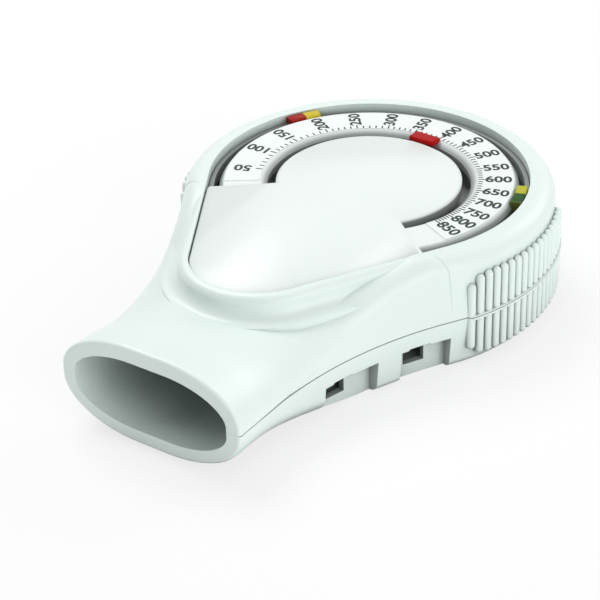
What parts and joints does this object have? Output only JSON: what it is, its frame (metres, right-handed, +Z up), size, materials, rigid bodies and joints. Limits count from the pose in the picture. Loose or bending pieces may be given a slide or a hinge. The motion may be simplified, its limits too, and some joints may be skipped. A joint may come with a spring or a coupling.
{
  "type": "peak flow meter",
  "caption": "Pocket peak flow meter: an oval mouthpiece and neck widen into a round ribbed body with a teardrop face, a curved scale, a red drag pointer and sliding zone markers.",
  "frame": {"origin": "on the axis of the dial, in the plane of the flat base that the meter rests on", "axes": "+Z up through the dial, -Y out of the mouthpiece, +Y towards the round end, +X to the side of the high numbers"},
  "size_m": [0.0754, 0.1072, 0.0236],
  "materials": {
    "casing_mint": "satin",
    "plate_white": "satin",
    "scale_white": "semi-gloss",
    "inner_white": "matt",
    "marker_red": "satin",
    "marker_green": "satin",
    "pointer_red": "semi-gloss",
    "vane_clear": "smooth",
    "steel": "turned",
    "spring_steel": "polished strip",
    "screw_steel": "plated",
    "brass": "turned",
    "arm_black": "matt",
    "felt_grey": "felt",
    "pad_rubber": "soft"
  },
  "bodies": {
    "casing": {"lower_casing": "casing_mint", "upper_casing": "casing_mint", "face_plate": "plate_white", "scale_strip": "scale_white", "chamber_lid": "inner_white", "lower_bush": "brass", "upper_bush": "brass", "return_spring": "spring_steel", "spring_post": "steel", "friction_washer": "felt_grey", "pointer_clip": "spring_steel", "vane_stop_pads": "pad_rubber", "casing_screws": "screw_steel", "lid_screws": "screw_steel"},
    "vane_group": {"spindle": "steel", "vane": "vane_clear", "vane_hub": "inner_white", "spring_collet": "brass", "pusher_arm": "arm_black"},
    "pointer": {"pointer": "pointer_red"},
    "low_marker": {"low_zone_marker": "marker_red"},
    "high_marker": {"high_zone_marker": "marker_green"}
  },
  "joints": [
    {"name": "vane_turn", "type": "hinge", "parent": "casing", "child": "vane_group", "pos_m": [0, 0, 0], "axis": [0, 0, 1], "range_deg": [-240, 0], "stiffness_Nm_per_rad": 0.001, "springref_deg": 34.38, "deforming": ["return_spring"]},
    {"name": "pointer_turn", "type": "hinge", "parent": "casing", "child": "pointer", "pos_m": [0, 0, 0], "axis": [0, 0, 1], "range_deg": [-118, 121]},
    {"name": "low_marker_turn", "type": "hinge", "parent": "casing", "child": "low_marker", "pos_m": [0, 0, 0], "axis": [0, 0, 1], "range_deg": [-52, 60]},
    {"name": "high_marker_turn", "type": "hinge", "parent": "casing", "child": "high_marker", "pos_m": [0, 0, 0], "axis": [0, 0, 1], "range_deg": [-47.5, 65]}
  ]
}
